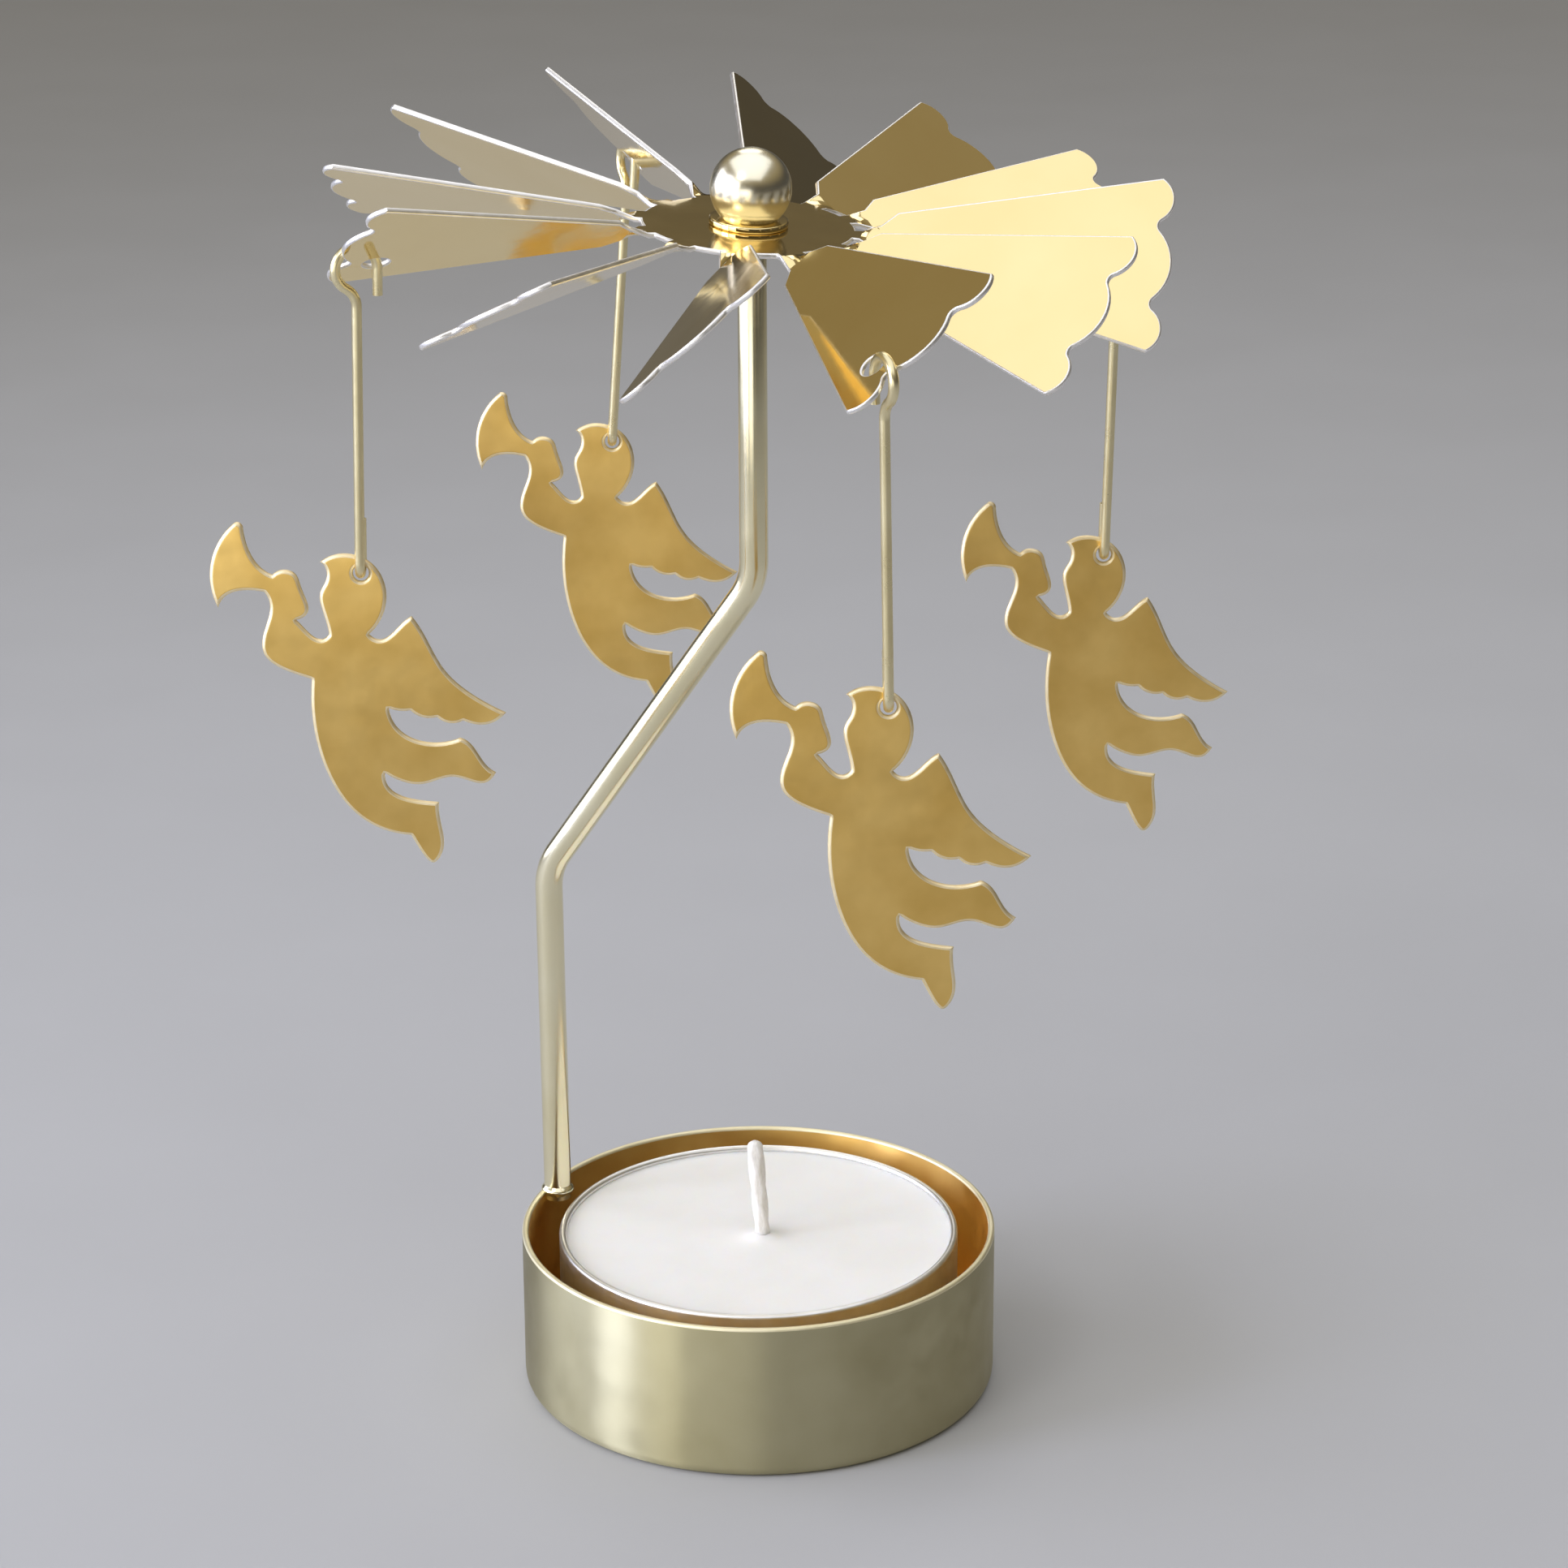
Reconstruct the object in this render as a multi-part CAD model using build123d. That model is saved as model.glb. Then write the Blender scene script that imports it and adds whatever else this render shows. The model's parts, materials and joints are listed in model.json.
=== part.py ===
# Angel chime carousel: a tealight cup with a bent stem, and on the stem's point
# a twelve-bladed fan that carries four sheet angels on wire hangers.
# Millimetres. Origin at the middle of the cup's underside, +Z up, front towards -Y.

import os
from math import cos, radians, sin, sqrt, tan

from build123d import *

ON_BASE = (Align.CENTER, Align.CENTER, Align.MIN)

# Tealight
TEALIGHT_D = 38.0
TEALIGHT_H = 14.2
SHELL_WALL = 0.3
SHELL_LIP_D = 0.7
WAX_BELOW_LIP = 0.5
WAX_EDGE_R = 0.4
WICK_D = 1.7
WICK_PROUD = 9.6
WICK_LEAN = 5.0
WICK_LEAN_AZIMUTH = 150.0
WICK_OFFSET_X = 0.4
WICK_OFFSET_Y = -0.8
HOLDER_D = 12.0
HOLDER_SHEET = 0.4
HOLDER_TUBE_H = 5.0
HOLDER_TUBE_WALL = 0.35

# Stem
STEM_D = 2.6
STEM_AZIMUTH = 157.0
STEM_LAP = 0.9
STEM_SEAT = 0.5
STEM_SPLAY = 0.2
STEM_LOW_BEND_Z = 48.5
STEM_HIGH_BEND_Z = 79.2
STEM_BEND_R = 6.5
PIVOT_Z = 116.1
POINT_LENGTH = 2.6
POINT_FLAT_D = 0.4

# Cup, whose bore takes the tealight with the stem beside it
CUP_H = 15.25
CUP_WALL = 0.6
CUP_FLOOR = 0.6
CUP_CORNER_R = 1.1
CUP_BORE_CORNER_R = 0.5
CUP_RIM_R = 0.2
TEALIGHT_STEM_GAP = 0.8

# Fan
FAN_PHASE = -7.2
FAN_SHEET = 0.5
HUB_D = 19.0
TAB_LENGTH = 0.4
TWIST_LENGTH = 1.8
NECK_WIDTH = 2.6
SHOULDER_LENGTH = 1.3
SHOULDER_WIDTH = 5.2
BLADE_PITCHES = (52.0, 26.0, 31.0, 39.0, 45.0, 36.0, 28.0, 37.0, 32.0, 46.0, 42.0, 44.0)
BLADE_DROOPS = (0.0, 0.0, 0.0, 0.0, 0.0, 0.0, 0.0, 0.0, 2.7, 0.0, 0.0, 0.0)
TIP_R = 35.8
TIP_WIDTH = 16.4
NOTCH_Y = 3.7
NOTCH_SIDE_GAP = 0.05
NOTCH_DEPTH = 0.2
SIDE_LOBE = 1.2
MIDDLE_LOBE = 1.5
FAN_LEAN = 4.7
FAN_LEAN_AZIMUTH = -32.0

# Ball and collar
BALL_D = 7.25
BALL_RIM = 0.25
FLANGE_RIM = 1.35
FLANGE_H = 0.6
SLEEVE_WALL = 0.3
SLEEVE_BELOW = 0.5
SLEEVE_LIP = 0.5
SLEEVE_GAP = 0.05
STEM_GAP = 0.15
PIVOT_ABOVE_HUB = 4.4
CONE_H = 1.8
SPIGOT_BELOW_CONE = 0.4
PIVOT_GAP = 0.05

# Hangers
WIRE_D = 0.9
CROOK_BORE = 2.9
CROOK_TAIL = 2.4
BRIDGE = 1.24
SEAT_GAP = 0.15
HANGER_DROPS = (27.5, 28.0, 28.4, 29.6)
HANGER_LEANS = (1.4, 4.1, -1.0, 1.2)
HOOK_END = 3.6
HANGER_BLADES = (7, 4, 10, 1)

# Angels
ANGEL_H = 32.5
ANGEL_SHEET = 0.6
ANGEL_SIDE_GAP = 0.3
ANGEL_HOLE_GAP = 0.25
ANGEL_TILTS = (1.5, 0.0, 0.0, -0.8)

# Worked out from the sizes above
wire_r = WIRE_D / 2
stem_r = STEM_D / 2
shell_r = TEALIGHT_D / 2
cup_inner_r = shell_r + TEALIGHT_STEM_GAP + STEM_D - STEM_SEAT
cup_outer_r = cup_inner_r + CUP_WALL
shell_top = CUP_FLOOR + TEALIGHT_H
wax_top = shell_top - WAX_BELOW_LIP
lean_shift = (PIVOT_ABOVE_HUB + FAN_SHEET / 2 + SLEEVE_BELOW) * tan(radians(FAN_LEAN))
bore_r = stem_r + lean_shift + STEM_GAP
sleeve_r = bore_r + SLEEVE_WALL
flange_r = sleeve_r + FLANGE_RIM
flange_top = FAN_SHEET / 2 + FLANGE_H
cone_foot = PIVOT_ABOVE_HUB - CONE_H
spigot_top = cone_foot - SPIGOT_BELOW_CONE
ball_seat_r = sleeve_r + SLEEVE_GAP
ball_centre = flange_top + sqrt((BALL_D / 2) ** 2 - (ball_seat_r + BALL_RIM) ** 2)
twist_start_r = HUB_D / 2 + TAB_LENGTH
twist_end_r = twist_start_r + TWIST_LENGTH
shoulder_r = twist_end_r + SHOULDER_LENGTH
notch_width = WIRE_D + 2 * NOTCH_SIDE_GAP
crook_r = (CROOK_BORE + WIRE_D) / 2
hook_r = ANGEL_SHEET / 2 + ANGEL_SIDE_GAP + wire_r
strip_r = TIP_R - BRIDGE / 2

# The fan sits on the stem's point with a slight lean, towards FAN_LEAN_AZIMUTH
rotor_place = (
    Pos(0, 0, PIVOT_Z)
    * Rot(Z=FAN_LEAN_AZIMUTH)
    * Rot(Y=FAN_LEAN)
    * Rot(Z=-FAN_LEAN_AZIMUTH)
    * Pos(0, 0, -PIVOT_ABOVE_HUB)
)


def around(radius, azimuth, z):
    """Point at a radius and azimuth about the cup's axis."""
    return Vector(radius * cos(radians(azimuth)), radius * sin(radians(azimuth)), z)


def blade_turn(number):
    return Rot(Z=FAN_PHASE + number * 360 / len(BLADE_PITCHES))


def blade_bend(number):
    """Droop of a blade, bent where its neck leaves the hub's tab."""
    return Pos(twist_start_r, 0, 0) * Rot(Y=BLADE_DROOPS[number]) * Pos(-twist_start_r, 0, 0)


def blade_place(number):
    """Place of a blade: X along the blade, Y towards its high edge."""
    return rotor_place * blade_turn(number) * blade_bend(number) * Rot(X=BLADE_PITCHES[number])


def crook_drop(number):
    """Depth of a crook's centre under the strip between its blade's hole and notch.

    The inside of the crook clears the strip's corners by SEAT_GAP.
    """
    pitch = radians(BLADE_PITCHES[number])
    inside = sqrt((CROOK_BORE / 2 - SEAT_GAP) ** 2 - (BRIDGE / 2) ** 2)
    return inside - FAN_SHEET / 2 / cos(pitch) - wire_r / 2 * tan(pitch)


def turned(profile):
    """Solid turned about Z from a profile in the XZ plane."""
    return revolve(Plane.XZ * profile, Axis.Z)


def make_cup():
    outer = Cylinder(cup_outer_r, CUP_H, align=ON_BASE)
    outer = fillet(outer.edges().group_by(Axis.Z)[0], CUP_CORNER_R)
    bore = Pos(0, 0, CUP_FLOOR) * Cylinder(cup_inner_r, CUP_H - CUP_FLOOR, align=ON_BASE)
    bore = fillet(bore.edges().group_by(Axis.Z)[0], CUP_BORE_CORNER_R)
    cup = outer - bore
    return fillet(cup.edges().group_by(Axis.Z)[-1], min(CUP_RIM_R, CUP_WALL / 3))


def make_stem(cup):
    foot_r = cup_inner_r + STEM_SEAT - stem_r
    rise = STEM_LOW_BEND_Z - CUP_H
    low_r = foot_r - STEM_SPLAY * STEM_LAP / rise
    path = FilletPolyline(
        around(low_r, STEM_AZIMUTH, CUP_H - STEM_LAP),
        around(foot_r + STEM_SPLAY, STEM_AZIMUTH, STEM_LOW_BEND_Z),
        Vector(0, 0, STEM_HIGH_BEND_Z),
        Vector(0, 0, PIVOT_Z - PIVOT_GAP - POINT_LENGTH),
        radius=STEM_BEND_R,
    )
    rod = sweep(Plane(path @ 0, z_dir=path % 0) * Circle(stem_r), path=path)
    point = Pos(path @ 1) * Cone(stem_r, POINT_FLAT_D / 2, POINT_LENGTH, align=ON_BASE)
    return rod + point - cup


def make_tealight_shell():
    shell = Cylinder(shell_r - SHELL_WALL, TEALIGHT_H, align=ON_BASE)
    shell = Cylinder(shell_r, TEALIGHT_H, align=ON_BASE) - Pos(0, 0, SHELL_WALL) * shell
    lip_r = SHELL_LIP_D / 2
    lip = turned(Pos(shell_r - lip_r, TEALIGHT_H - lip_r) * Circle(lip_r))
    return Pos(0, 0, CUP_FLOOR) * (shell + lip)


def make_wick():
    foot_z = CUP_FLOOR + SHELL_WALL + HOLDER_SHEET
    lean = around(WICK_PROUD * sin(radians(WICK_LEAN)), WICK_LEAN_AZIMUTH, 0)
    start = Vector(WICK_OFFSET_X, WICK_OFFSET_Y, foot_z)
    bend = Vector(WICK_OFFSET_X, WICK_OFFSET_Y, wax_top)
    path = FilletPolyline(start, bend, bend + lean + Vector(0, 0, WICK_PROUD), radius=4 * WICK_D)
    return sweep(Plane(start) * Circle(WICK_D / 2), path=path)


def make_wick_holder():
    disc = Cylinder(HOLDER_D / 2, HOLDER_SHEET, align=ON_BASE)
    tube_r = WICK_D / 2 + HOLDER_TUBE_WALL
    tube = Pos(0, 0, HOLDER_SHEET) * (
        Cylinder(tube_r, HOLDER_TUBE_H, align=ON_BASE) - Cylinder(WICK_D / 2, HOLDER_TUBE_H, align=ON_BASE)
    )
    return Pos(WICK_OFFSET_X, WICK_OFFSET_Y, CUP_FLOOR + SHELL_WALL) * (disc + tube)


def make_wax(shell, wick, holder):
    wax_foot = CUP_FLOOR + SHELL_WALL
    block = Pos(0, 0, wax_foot) * Cylinder(shell_r - SHELL_WALL, wax_top - wax_foot, align=ON_BASE)
    block = fillet(block.edges().group_by(Axis.Z)[-1], WAX_EDGE_R)
    return block - shell - wick - holder


def blade_outline(number):
    """Flat blade from its neck to its three-lobed edge, X outwards, Y towards the high edge."""
    notch_x = TIP_R + NOTCH_DEPTH
    inner_y = NOTCH_Y - notch_width / 2
    outer_y = NOTCH_Y + notch_width / 2
    side_y = (outer_y + TIP_WIDTH / 2) / 2
    edges = [Line((twist_end_r, -NECK_WIDTH / 2), (twist_end_r, NECK_WIDTH / 2))]
    for side in (1, -1):
        edges += [
            Line((twist_end_r, side * NECK_WIDTH / 2), (shoulder_r, side * SHOULDER_WIDTH / 2)),
            Line((shoulder_r, side * SHOULDER_WIDTH / 2), (TIP_R, side * TIP_WIDTH / 2)),
            ThreePointArc(
                (TIP_R, side * TIP_WIDTH / 2), (TIP_R + SIDE_LOBE, side * side_y), (notch_x, side * outer_y)
            ),
            ThreePointArc((notch_x, side * outer_y), (TIP_R, side * NOTCH_Y), (notch_x, side * inner_y)),
        ]
    edges.append(ThreePointArc((notch_x, inner_y), (TIP_R + MIDDLE_LOBE, 0), (notch_x, -inner_y)))
    face = make_face(edges)
    if number in HANGER_BLADES:
        reach = sqrt(crook_r**2 - crook_drop(number) ** 2)
        face -= Pos(strip_r - reach, -NOTCH_Y) * Circle(reach - BRIDGE / 2)
    return face


def make_fan():
    hub = Circle(HUB_D / 2) - Circle(sleeve_r + SLEEVE_GAP)
    tab_length = twist_start_r - HUB_D / 4
    neck = Rectangle(NECK_WIDTH, FAN_SHEET)
    pieces = []
    for number, pitch in enumerate(BLADE_PITCHES):
        turn = blade_turn(number)
        bend = blade_bend(number)
        hub += turn * Pos(twist_start_r - tab_length / 2, 0) * Rectangle(tab_length, NECK_WIDTH)
        neck_end = bend * (Plane.YZ.offset(twist_end_r) * Rot(Z=pitch) * neck)
        twist = loft([Plane.YZ.offset(twist_start_r) * neck, neck_end], ruled=True)
        blade = extrude(blade_outline(number), FAN_SHEET / 2, both=True)
        pieces += [turn * twist, turn * bend * Rot(X=pitch) * blade]
    fan = extrude(hub, FAN_SHEET / 2, both=True)
    return rotor_place * fan.fuse(*pieces)


def make_collar():
    """Flange between ball and fan, with a spigot up into the ball and a swaged sleeve below."""
    half = FAN_SHEET / 2
    outline = Polyline(
        (bore_r, spigot_top),
        (sleeve_r, spigot_top),
        (sleeve_r, flange_top),
        (flange_r, flange_top),
        (flange_r, half),
        (sleeve_r, half),
        (sleeve_r, -half),
        (sleeve_r + SLEEVE_LIP, -half),
        (sleeve_r, -half - SLEEVE_BELOW),
        (bore_r, -half - SLEEVE_BELOW),
        close=True,
    )
    return rotor_place * turned(make_face(outline))


def make_ball():
    """Finial, bored from below for the collar's spigot, with a cone that turns on the stem's point."""
    bore = Polyline(
        (0, flange_top),
        (ball_seat_r, flange_top),
        (ball_seat_r, spigot_top),
        (bore_r, spigot_top),
        (bore_r, cone_foot),
        (POINT_FLAT_D, PIVOT_ABOVE_HUB),
        (0, PIVOT_ABOVE_HUB),
        close=True,
    )
    ball = Pos(0, 0, ball_centre) * Sphere(BALL_D / 2)
    below = Pos(0, 0, flange_top - BALL_D / 2) * Box(BALL_D, BALL_D, BALL_D)
    return rotor_place * (ball - below - turned(make_face(bore)))


def crook_centre(number):
    """Centre of the crook over a blade's strip, and the level direction outwards from there."""
    strip = blade_place(number) * Pos(strip_r, -NOTCH_Y, 0)
    outwards = strip.position - (blade_place(number) * Pos(0, -NOTCH_Y, 0)).position
    level = Vector(outwards.X, outwards.Y, 0).normalized()
    return strip.position - Vector(0, 0, crook_drop(number)), level


def hanger_place(place):
    """Place of a hanger, from its crook's centre, with the slight lean it hangs at."""
    centre, _ = crook_centre(HANGER_BLADES[place])
    return Pos(centre) * Rot(Y=HANGER_LEANS[place])


def make_hanger(place):
    """Wire from its tail in the blade's hole, over the strip and down, to the hook's free end."""
    _, level = crook_centre(HANGER_BLADES[place])
    up = Vector(0, 0, 1)
    back = Vector(0, 1, 0)

    def on_crook(angle):
        return level * (crook_r * cos(radians(angle))) + up * (crook_r * sin(radians(angle)))

    rod_top = up * (-crook_r * sqrt(3))
    sway_centre = rod_top + level * crook_r
    sway_mid = sway_centre - level * (crook_r * cos(radians(30))) + up * (crook_r * sin(radians(30)))
    hook_front = up * (hook_r - HANGER_DROPS[place])
    hook_back = hook_front + back * (2 * hook_r)
    hook_low = hook_front + back * hook_r - up * hook_r
    path = Wire(
        [
            Line(on_crook(180) - up * CROOK_TAIL, on_crook(180)),
            ThreePointArc(on_crook(180), on_crook(90), on_crook(0)),
            ThreePointArc(on_crook(0), on_crook(-30), on_crook(-60)),
            ThreePointArc(on_crook(-60), sway_mid, rod_top),
            Line(rod_top, hook_front),
            ThreePointArc(hook_front, hook_low, hook_back),
            Line(hook_back, hook_back + up * HOOK_END),
        ]
    )
    return hanger_place(place) * sweep(Plane(path @ 0, z_dir=path % 0) * Circle(wire_r), path=path)


def angel_outline():
    """Side view of a flying angel with a trumpet, X to its back, Y up, from the hole in its head."""
    strokes = [
        ThreePointArc((-10.7, 4.8), (-13.1, 0.7), (-12.6, -2.7)),
        Spline((-12.6, -2.7), (-11.6, -1.5), (-10.0, -1.2), (-8.5, -1.4)),
        Spline((-8.5, -1.4), (-8.1, -3.0), (-8.9, -5.5), (-8.9, -6.9), (-7.5, -8.3), (-4.85, -9.4)),
        Spline((-4.85, -9.4), (-5.05, -12.1), (-4.45, -17.0), (-2.25, -21.7), (2.9, -24.5)),
        Spline((2.9, -24.5), (3.9, -26.5), (4.8, -27.3), (5.4, -26.7), (5.7, -23.9), (5.6, -21.4)),
        Spline((5.6, -21.4), (3.2, -21.0), (1.5, -20.1), (1.0, -18.4)),
        Spline((1.0, -18.4), (2.3, -19.2), (4.2, -19.6), (7.1, -19.0), (9.6, -19.7), (10.8, -18.7)),
        Spline((10.8, -18.7), (9.6, -17.4), (8.7, -15.9), (7.8, -15.3)),
        Spline((7.8, -15.3), (5.9, -15.7), (3.6, -15.2), (1.7, -12.3)),
        ThreePointArc((1.7, -12.3), (2.6, -12.6), (3.6, -12.6)),
        ThreePointArc((3.6, -12.6), (4.7, -13.3), (5.9, -13.3)),
        ThreePointArc((5.9, -13.3), (7.0, -13.9), (8.2, -13.7)),
        Spline((8.2, -13.7), (10.4, -14.1), (12.0, -13.1)),
        Spline((12.0, -13.1), (10.1, -12.0), (6.75, -8.9), (5.05, -5.4), (4.2, -4.0)),
        Spline((4.2, -4.0), (3.0, -4.9), (1.4, -6.0), (0.4, -5.5)),
        Spline((0.4, -5.5), (1.75, -3.7), (2.1, -1.6), (1.05, 0.75), (-1.2, 1.75), (-3.5, 1.1)),
        Spline((-3.5, 1.1), (-3.0, 0.3), (-3.1, -0.6), (-3.6, -1.5), (-3.5, -3.4), (-3.1, -5.4)),
        Spline((-3.1, -5.4), (-3.9, -5.8), (-5.1, -4.9), (-5.9, -4.0)),
        Spline((-5.9, -4.0), (-4.8, -3.3), (-5.3, -1.0), (-5.7, 0.1), (-6.6, 0.5), (-7.7, 0.1)),
        Spline((-7.7, 0.1), (-8.8, 0.9), (-9.7, 2.6), (-10.0, 4.2)),
        ThreePointArc((-10.0, 4.2), (-10.2, 4.7), (-10.7, 4.8)),
    ]
    face = make_face(strokes)
    return scale(face, ANGEL_H / face.bounding_box().size.Y) - Circle(wire_r + ANGEL_HOLE_GAP)


def hook_bottom(place):
    """Middle of a hook's lowest stretch, where an angel hangs."""
    return (hanger_place(place) * Pos(0, hook_r, -HANGER_DROPS[place])).position


def make_angel(place):
    sheet = Plane.XZ * Rot(Z=ANGEL_TILTS[place]) * angel_outline()
    return Pos(hook_bottom(place)) * extrude(sheet, ANGEL_SHEET / 2, both=True)


def main():
    cup = make_cup()
    shell = make_tealight_shell()
    wick = make_wick()
    holder = make_wick_holder()
    parts = {
        "cup": cup,
        "stem": make_stem(cup),
        "tealight_shell": shell,
        "tealight_wax": make_wax(shell, wick, holder),
        "wick": wick,
        "wick_holder": holder,
        "fan": make_fan(),
        "collar": make_collar(),
        "ball": make_ball(),
    }
    for place, number in enumerate(HANGER_BLADES):
        parts[f"hanger_{place + 1}"] = make_hanger(place)
        parts[f"angel_{place + 1}"] = make_angel(place)
        centre, level = crook_centre(number)
        print(f"hanger_{place + 1} crook", centre, "outwards", level, "hook", hook_bottom(place))
    os.makedirs("parts", exist_ok=True)
    for name, solid in parts.items():
        export_step(solid, f"parts/{name}.step")


main()
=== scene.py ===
# Looks of the angel chime carousel, built around its packed construction.
# Metres. +Z up, front towards -Y, as in the frame.

import json
from math import acos, cos, degrees, exp, pi, radians, sin, sqrt, tan

import bmesh
import bpy
from mathutils import Matrix, Quaternion, Vector, noise
from mathutils.bvhtree import BVHTree
from mathutils.geometry import delaunay_2d_cdt
from mathutils.kdtree import KDTree


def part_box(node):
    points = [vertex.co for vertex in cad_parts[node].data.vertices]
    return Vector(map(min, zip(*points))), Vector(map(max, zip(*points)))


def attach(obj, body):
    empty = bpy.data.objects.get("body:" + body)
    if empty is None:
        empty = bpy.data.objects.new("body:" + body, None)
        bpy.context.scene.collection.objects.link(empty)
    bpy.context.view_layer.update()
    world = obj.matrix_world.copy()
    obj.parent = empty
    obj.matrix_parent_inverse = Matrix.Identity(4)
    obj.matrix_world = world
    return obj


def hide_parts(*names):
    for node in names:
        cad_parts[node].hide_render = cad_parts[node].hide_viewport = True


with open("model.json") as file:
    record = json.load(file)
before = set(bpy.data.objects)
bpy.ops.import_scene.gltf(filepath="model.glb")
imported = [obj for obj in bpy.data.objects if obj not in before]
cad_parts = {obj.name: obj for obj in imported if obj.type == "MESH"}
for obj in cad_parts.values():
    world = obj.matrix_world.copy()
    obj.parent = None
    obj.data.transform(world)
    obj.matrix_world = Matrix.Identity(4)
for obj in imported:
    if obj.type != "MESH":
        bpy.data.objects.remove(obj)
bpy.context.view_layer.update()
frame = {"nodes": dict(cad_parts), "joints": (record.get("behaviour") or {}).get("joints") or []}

MM = 0.001
PLACES = (1, 2, 3, 4)

# Stem, which leans out a little up to its low bend
STEM_AZIMUTH = radians(157.0)
STEM_FOOT_R = 21.1 * MM
STEM_SPLAY = 0.2 * MM
STEM_LOW_BEND_Z = 48.5 * MM
STEM_HIGH_BEND_Z = 79.2 * MM
STEM_BEND_R = 6.5 * MM
STEM_POINT = 2.6 * MM
STEM_POINT_FLAT = 0.2 * MM
SOLDER_PROUD = 0.4 * MM
SOLDER_SINK = 0.1 * MM
SOLDER_DEPTH = 3 * SOLDER_SINK
SOLDER_H = 0.7 * MM

# Cup
CUP_WALL = 0.6 * MM
CUP_CORNER_R = 1.1 * MM
CUP_RIM_R = 0.28 * MM

# Fan, ball and collar, which lean together on the stem's point
FAN_LEAN = radians(4.7)
FAN_LEAN_AZIMUTH = radians(-32.0)
PIVOT_ABOVE_HUB = 4.4 * MM
FAN_SHEET = 0.5 * MM
FAN_EDGE_R = 0.16 * MM
FAN_EDGE_STEPS = 3
FAN_FLAT_ANGLE = radians(0.5)
FAN_CORNER_ANGLE = radians(50)
FAN_PROBE_IN = 0.01 * MM
FAN_THROUGH = 1.2
SLEEVE_R = 2.17 * MM
SLEEVE_WALL = 0.3 * MM
SLEEVE_LIP = 0.5 * MM
SLEEVE_BELOW = 0.5 * MM
SLEEVE_GAP = 0.05 * MM
FLANGE_R = 3.52 * MM
FLANGE_H = 0.6 * MM
FLANGE_EDGE_R = 0.18 * MM
BALL_RIM = 0.25 * MM
CONE_H = 1.8 * MM
CONE_TOP_R = 0.4 * MM
SPIGOT_BELOW_CONE = 0.4 * MM

# Angels, each bowed a little towards the front
ANGEL_SHEET = 0.6 * MM
ANGEL_BOW_R = 130.0 * MM
ANGEL_OUTLINE_GAP = 0.12 * MM
ANGEL_SAMPLE_GAP = ANGEL_OUTLINE_GAP / 5
ANGEL_EDGE_TURNS = (30, 60, 90, 110)
ANGEL_EDGE_SHARE = 0.95
ANGEL_INSET_SHARE = 0.95
ANGEL_GRID = 1.2 * MM
ANGEL_HOLE_SLACK = 1.02
ANGEL_RIM_WELD = 0.004 * MM
SAME_WAY = 0.9999

# Tealight
SHELL_WALL = 0.3 * MM
SHELL_CORNER_R = 2 * SHELL_WALL
SHELL_LIP_R = 0.35 * MM
SHELL_LIP_DEGREES = 220
WAX_EDGE_R = 0.4 * MM
WAX_DISH = 0.12 * MM
WAX_DISH_POWER = 6
WAX_RIPPLE = 0.05 * MM
WAX_RIPPLE_SIZE = 7 * MM
WAX_CREEP = 0.45 * MM
WAX_CREEP_REACH = 0.8 * MM
WICK_R = 0.85 * MM
WICK_X = 0.4 * MM
WICK_Y = -0.8 * MM
WICK_PROUD = 9.6 * MM
WICK_LEAN = radians(5.0)
WICK_LEAN_AZIMUTH = radians(150.0)
WICK_BEND_R = 8 * WICK_R
WICK_GAP = 0.12 * MM
WICK_TIP_ROUND = 0.9
WICK_STRANDS = 4
WICK_LAY = 3.6 * MM
WICK_GROOVE = 0.16
WICK_WAIST = 0.86

# Fineness of the meshes
ARC_STEPS = 6
BEND_STEPS = 16
TUBE_SIDES = 48
PAN_STEPS = 256
WAX_STEPS = 192
WAX_TOP_STEPS = 40
WAX_TOP_FLAT_STEPS = 38
HUB_STEPS = 128
BALL_STEPS = 64
LIP_STEPS = 12
SOLDER_STEPS = 48
SOLDER_HALF_STEPS = 8
FLOOR_STEPS = 128
WELD = 0.0001 * MM
NODE_WELD = 0.001 * MM
SHARP_ANGLE = radians(40)

# Camera that took the photograph
PHOTO_WIDTH = 1932
FOCAL_PIXELS = 5421.0
SENSOR_MM = 36.0
CAMERA_PLACE = (-1.5 * MM, -380.7 * MM, 196.8 * MM)
CAMERA_DOWN = radians(19.81)
CAMERA_YAW = radians(0.62)
CAMERA_ROLL = radians(-0.25)


# Materials

NOISE_LOW = 0.3
NOISE_HIGH = 0.7
ROUND_LINES = (40, 40, 1)
UPRIGHT_LINES = (1, 1, 40)
STAMPED_LINES = (1, 1, 12)
FIBRE_LINES = (1, 1, 5)
NO_LINES = (1, 1, 1)


def srgb(red, green, blue):
    """Linear colour of a screen colour given in 0 to 255."""
    shares = [value / 255 for value in (red, green, blue)]
    return [s / 12.92 if s <= 0.04045 else ((s + 0.055) / 1.055) ** 2.4 for s in shares]


def add(tree, kind, inputs=None, **settings):
    """New node with its settings, and its inputs linked or set."""
    new = tree.nodes.new(kind)
    for name, value in settings.items():
        setattr(new, name, value)
    for name, value in (inputs or {}).items():
        if isinstance(value, bpy.types.NodeSocket):
            tree.links.new(value, new.inputs[name])
        else:
            new.inputs[name].default_value = value
    return new


def new_material(name):
    """Material with its node tree and its shader."""
    material = bpy.data.materials.new(name)
    material.use_nodes = True
    tree = material.node_tree
    return material, tree, tree.nodes["Principled BSDF"]


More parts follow.
